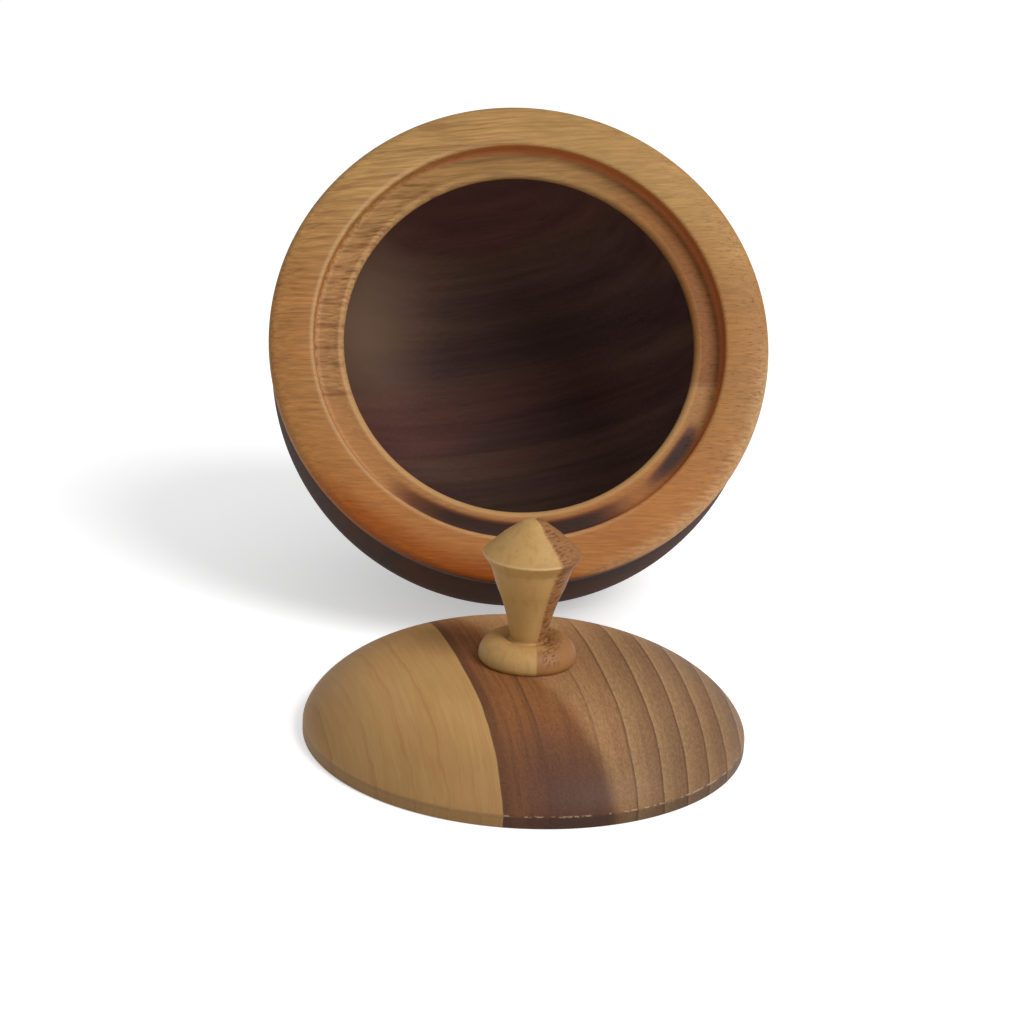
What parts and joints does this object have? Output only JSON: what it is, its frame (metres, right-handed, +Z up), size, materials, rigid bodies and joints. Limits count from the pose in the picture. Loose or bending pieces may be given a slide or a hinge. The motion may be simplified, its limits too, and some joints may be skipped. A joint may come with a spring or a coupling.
{
  "type": "wooden sugar bowl",
  "caption": "Turned wooden sugar bowl with a pale rim, shown open on its side, and its domed lid with a pointed knob lying in front.",
  "frame": {"origin": "on the table, below the middle of the bowl and lid as they lie", "axes": "+Z up, +Y from the lid towards the back of the bowl, +X to the right as seen from the lid's side"},
  "size_m": [0.1294, 0.2194, 0.1271],
  "materials": {
    "dark_walnut": "oiled, satin, dark brown with soft streaks",
    "pale_rim_wood": "oiled, satin, warm tan with fine straight grain",
    "two_tone_walnut": "oiled, satin, pale on one side and brown with growth rings on the other",
    "pale_knob_wood": "oiled, satin, pale tan with brown flecks"
  },
  "bodies": {
    "bowl": {"bowl_body": "dark_walnut", "rim_ring": "pale_rim_wood"},
    "lid_and_knob": {"lid": "two_tone_walnut", "knob": "pale_knob_wood"}
  },
  "joints": [
    {"name": "lid_lift", "type": "slide", "parent": "bowl", "child": "lid_and_knob", "axis": [0, -0.5, 0.866], "range_m": [0, 0.16]}
  ]
}
